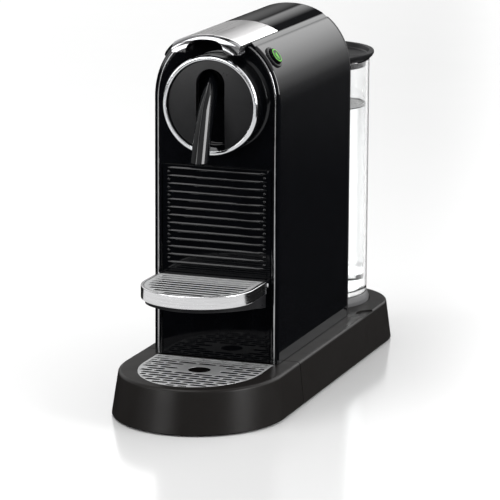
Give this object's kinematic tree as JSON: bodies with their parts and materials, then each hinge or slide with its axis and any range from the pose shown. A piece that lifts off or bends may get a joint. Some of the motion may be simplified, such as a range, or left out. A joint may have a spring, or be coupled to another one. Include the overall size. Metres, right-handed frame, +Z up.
{
  "type": "pod coffee machine",
  "caption": "Slim capsule coffee machine with an arched body, a round brew head and spout, a lever on top, a folding cup support, a drip tray and a clear rear water tank.",
  "frame": {"origin": "centre of the base's footprint on the table", "axes": "+Z up, +Y from the drip tray towards the water tank, +X to the right of someone facing the machine"},
  "size_m": [0.1298, 0.3715, 0.278],
  "materials": {
    "gloss_black": "high-gloss moulded",
    "satin_black": "satin moulded",
    "matte_base": "fine-textured matte",
    "chrome_trim": "polished",
    "silver_satin": "satin",
    "stainless": "brushed",
    "brass_metal": "machined",
    "rubber_black": "matte",
    "clear_tank": "clear polished",
    "light_grey": "satin",
    "board_green": "lacquered board",
    "white_plastic": "natural nylon"
  },
  "bodies": {
    "housing": {"left_side_shell": "gloss_black", "right_side_shell": "gloss_black", "front_frame": "gloss_black", "spout": "gloss_black", "rear_cover": "satin_black", "drum_collar": "satin_black", "drum_face": "satin_black", "top_deck": "satin_black", "brew_head": "satin_black", "capsule_chute": "satin_black", "bulkhead": "satin_black", "button_collar_left": "satin_black", "button_collar_right": "satin_black", "base_frame": "matte_base", "front_trim": "chrome_trim", "chrome_ring": "chrome_trim", "thermoblock": "silver_satin", "chassis_floor": "stainless", "rear_screw_left": "stainless", "rear_screw_right": "stainless", "lever_pin": "stainless", "piercing_plate": "stainless", "guide_rail": "stainless", "brew_frame_left": "stainless", "brew_frame_right": "stainless", "pump": "brass_metal", "foot_front_left": "rubber_black", "foot_front_right": "rubber_black", "foot_rear_left": "rubber_black", "foot_rear_right": "rubber_black", "cord_gland": "rubber_black", "pump_damper": "rubber_black", "supply_hose": "clear_tank", "water_spigot": "light_grey", "control_board": "board_green", "flow_meter": "white_plastic", "pressure_hose": "white_plastic", "button_switch_left": "white_plastic", "button_switch_right": "white_plastic"},
    "lever": {"lever_strip": "gloss_black", "lever_plate": "silver_satin", "lever_grip": "chrome_trim"},
    "toggle_links": {"toggle_link_left": "stainless", "toggle_link_right": "stainless"},
    "cage": {"capsule_cage": "satin_black"},
    "espresso_key": {"espresso_button": "satin_black"},
    "lungo_key": {"lungo_button": "satin_black"},
    "drawer": {"drip_tray": "matte_base", "ribbed_front": "gloss_black", "capsule_bin": "satin_black", "cup_hinge_pin": "stainless"},
    "drain_grid": {"drip_grid": "stainless"},
    "cup_support": {"cup_tray": "satin_black", "cup_band": "chrome_trim", "cup_grid": "stainless"},
    "tank": {"tank_wall": "clear_tank", "tank_foot": "light_grey"},
    "valve": {"tank_valve": "light_grey"},
    "lid": {"tank_lid": "satin_black"}
  },
  "joints": [
    {"name": "lever_hinge", "type": "hinge", "parent": "housing", "child": "lever", "pos_m": [0, 0.064, 0.27], "axis": [-1, 0, 0], "range_deg": [0, 55]},
    {"name": "toggle_hinge", "type": "hinge", "parent": "lever", "child": "toggle_links", "pos_m": [0, 0.037, 0.2615], "axis": [-1, 0, 0], "range_deg": [-88, 0]},
    {"name": "cage_slide", "type": "slide", "parent": "housing", "child": "cage", "axis": [0, 1, 0], "range_m": [0, 0.0306]},
    {"name": "espresso_press", "type": "slide", "parent": "housing", "child": "espresso_key", "axis": [-0.8111, 0, -0.5849], "range_m": [0, 0.0015], "stiffness_N_per_m": 600, "springref_m": -0.001},
    {"name": "lungo_press", "type": "slide", "parent": "housing", "child": "lungo_key", "axis": [0.8111, 0, -0.5849], "range_m": [0, 0.0015], "stiffness_N_per_m": 600, "springref_m": -0.001},
    {"name": "drawer_slide", "type": "slide", "parent": "housing", "child": "drawer", "axis": [0, -1, 0], "range_m": [0, 0.12]},
    {"name": "drain_grid_lift", "type": "slide", "parent": "drawer", "child": "drain_grid", "axis": [0, 0, 1], "range_m": [0, 0.025]},
    {"name": "cup_support_hinge", "type": "hinge", "parent": "drawer", "child": "cup_support", "pos_m": [0, -0.0902, 0.0935], "axis": [-1, 0, 0], "range_deg": [0, 90]},
    {"name": "tank_lift", "type": "slide", "parent": "housing", "child": "tank", "axis": [0, 0, 1], "range_m": [0, 0.06]},
    {"name": "valve_slide", "type": "slide", "parent": "tank", "child": "valve", "axis": [0, 0, 1], "range_m": [-0.0031, 0]},
    {"name": "tank_lid_lift", "type": "slide", "parent": "tank", "child": "lid", "axis": [0, 0, 1], "range_m": [0, 0.04]}
  ],
  "couplings": [
    {"joint": "toggle_hinge", "follows": "lever_hinge", "ratio": -1.591},
    {"joint": "cage_slide", "follows": "lever_hinge", "m_per_rad": 0.03167},
    {"joint": "valve_slide", "follows": "tank_lift", "ratio": -0.05}
  ]
}
